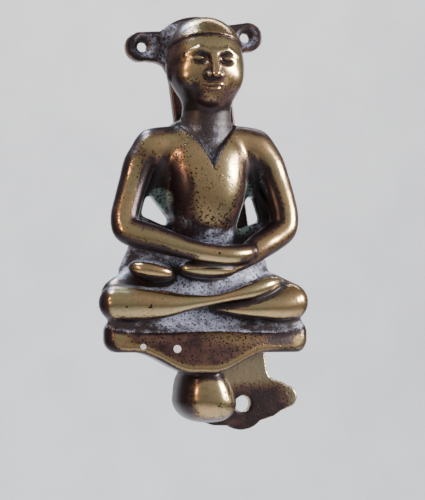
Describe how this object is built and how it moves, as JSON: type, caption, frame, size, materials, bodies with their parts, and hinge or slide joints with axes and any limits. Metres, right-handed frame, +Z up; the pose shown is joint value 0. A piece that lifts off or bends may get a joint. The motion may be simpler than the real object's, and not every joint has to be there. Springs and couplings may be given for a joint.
{
  "type": "figural door knocker",
  "caption": "Seated meditating figure on a plinth with a pointed apron and striker knob, hung by a hidden hinge from a screw-on door plate.",
  "frame": {"origin": "on the backplate's rear face, straight behind the middle of the hinge pin", "axes": "+X to the viewer's right, +Y back into the door, +Z up; the figure faces -Y and hangs plumb, and the backplate is turned 7.6 degrees in its own plane"},
  "size_m": [0.0526, 0.0236, 0.103],
  "materials": {
    "figure_brass": "old polished brass with dark patina in the hollows",
    "plate_brass": "worn brass under brown patina",
    "pin_metal": "dull drawn rod"
  },
  "bodies": {
    "plate": {"backplate": "plate_brass"},
    "pin": {"hinge_pin": "pin_metal"},
    "knocker": {"figure": "figure_brass"}
  },
  "joints": [
    {"name": "knock", "type": "hinge", "parent": "plate", "child": "pin", "pos_m": [0, -0.0065, 0], "axis": [-0.9912, 0, -0.1323], "range_deg": [0, 80]},
    {"name": "sway", "type": "hinge", "parent": "pin", "child": "knocker", "pos_m": [0, -0.0065, 0], "axis": [0, -1, 0], "range_deg": [-2.5, 17.5]}
  ]
}
